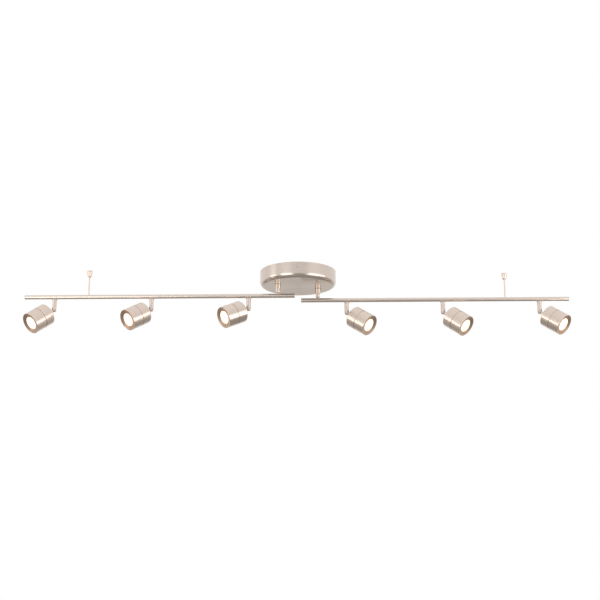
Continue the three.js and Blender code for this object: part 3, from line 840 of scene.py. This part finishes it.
# Greys of the room by the height of the direction, -1 straight down and 1 straight up.
FRONT_GREYS = ((-1.0, 0.42), (-0.6, 0.35), (-0.1, 0.62), (0.1, 0.8), (0.4, 0.9), (1.0, 0.98))
BACK_GREYS = ((-1.0, 0.34), (-0.45, 0.36), (-0.25, 0.8), (0.0, 0.98), (0.3, 0.95), (1.0, 0.98))
BEHIND = ((-0.4, 0.0), (0.5, 1.0))      # share of the back's greys, by depth: -1 in front and 1 behind
WARM_BELOW = (1, 0.965, 0.925)
# The camera: its lens, how far it is from the point it aims at, and how it is turned.
SENSOR_MM = 36
LENS_MM = 69
AWAY = 3.85
AIM = (0.0068, 0, -0.0966)
AZIMUTH = math.radians(0.92)
LOOK_UP = math.radians(14.7)
ROLL = math.radians(0.11)


def studio_floor():
    """Wide pale sheet, well below the light."""
    corners = [(-FLOOR_HALF, -FLOOR_HALF), (FLOOR_HALF, -FLOOR_HALF), (FLOOR_HALF, FLOOR_HALF),
               (-FLOOR_HALF, FLOOR_HALF)]
    floor = new_object("floor", [(x, y, FLOOR_Z) for x, y in corners], [(0, 1, 2, 3)])
    nodes = Nodes("pale_floor")
    nodes.shader.inputs["Base Color"].default_value = FLOOR_TINT
    nodes.shader.inputs["Roughness"].default_value = FLOOR_ROUGHNESS
    floor.data.materials.append(nodes.material)
    # The room's own greys stand for the floor in the metal, so that the floor's pale sheet doesn't fill it.
    floor.visible_glossy = False


def softbox(name, bearing, height, wide, high, power):
    """A flat light that faces the model. Bearing 0 is in front of it and 90 to its right."""
    bearing, height = math.radians(bearing), math.radians(height)
    level = math.cos(height)
    out = Vector((math.sin(bearing) * level, -math.cos(bearing) * level, math.sin(height)))
    light = bpy.data.lights.new(name, "AREA")
    light.shape = "RECTANGLE"
    light.size = wide
    light.size_y = high
    light.energy = power
    light.color = LAMP_TINT
    lamp = bpy.data.objects.new(name, light)
    lamp.location = Vector(CENTRE) + out * SOFTBOX_AWAY
    lamp.rotation_euler = out.to_track_quat("Z", "Y").to_euler()
    lamp.visible_camera = False
    bpy.context.scene.collection.objects.link(lamp)


def surroundings():
    """Room in greys: bright above and behind, dimmer below and in front, and plain white to the camera."""
    world = bpy.data.worlds.new("white_room")
    bpy.context.scene.world = world
    world.use_nodes = True
    tree = world.node_tree
    tree.nodes.clear()

    def add(kind, *sources):
        node = tree.nodes.new(kind)
        for slot, source in enumerate(sources):
            tree.links.new(source, node.inputs[slot])
        return node

    split = add("ShaderNodeSeparateXYZ", add("ShaderNodeTexCoord").outputs["Generated"])

    def shares(socket, stops):
        """A grey for each height or depth of the direction, from -1 to 1, warmer below 0."""
        share = add("ShaderNodeMapRange", socket)
        share.inputs["From Min"].default_value = -1
        ramp = add("ShaderNodeValToRGB", share.outputs[0])
        ramp.color_ramp.interpolation = "EASE"
        while len(ramp.color_ramp.elements) < len(stops):
            ramp.color_ramp.elements.new(0.5)
        for element, (at, grey) in zip(ramp.color_ramp.elements, stops):
            element.position = (at + 1) / 2
            warmth = WARM_BELOW if at < 0 else (1, 1, 1)
            element.color = (*(grey * channel for channel in warmth), 1)
        return ramp.outputs[0]

    front = shares(split.outputs[2], FRONT_GREYS)
    back = shares(split.outputs[2], BACK_GREYS)
    behind = shares(split.outputs[1], BEHIND)
    both = add("ShaderNodeMixRGB", behind, front, back)
    lit = add("ShaderNodeBackground", both.outputs[0])
    seen = add("ShaderNodeBackground")
    seen.inputs["Color"].default_value = (1, 1, 1, 1)
    is_seen = add("ShaderNodeLightPath").outputs["Is Camera Ray"]
    mixed = add("ShaderNodeMixShader", is_seen, lit.outputs[0], seen.outputs[0])
    add("ShaderNodeOutputWorld", mixed.outputs[0])


def camera():
    """Below the light and in front of it, looking up, a little rolled."""
    data = bpy.data.cameras.new("camera")
    data.sensor_width = SENSOR_MM
    data.lens = LENS_MM
    eye = bpy.data.objects.new("camera", data)
    bpy.context.scene.collection.objects.link(eye)
    ahead = math.cos(LOOK_UP)
    forward = Vector((-math.sin(AZIMUTH) * ahead, math.cos(AZIMUTH) * ahead, math.sin(LOOK_UP)))
    right = Vector((math.cos(AZIMUTH), math.sin(AZIMUTH), 0))
    up = right.cross(forward)
    rolled = Matrix.Rotation(ROLL, 3, forward)
    right, up = rolled @ right, rolled @ up
    turn = Matrix((right, up, -forward)).transposed().to_4x4()
    eye.matrix_world = Matrix.Translation(Vector(AIM) - forward * AWAY) @ turn
    bpy.context.scene.camera = eye


studio_floor()
surroundings()
for softbox_place in SOFTBOXES:
    softbox(*softbox_place)
camera()
bpy.context.scene.view_settings.view_transform = "Standard"
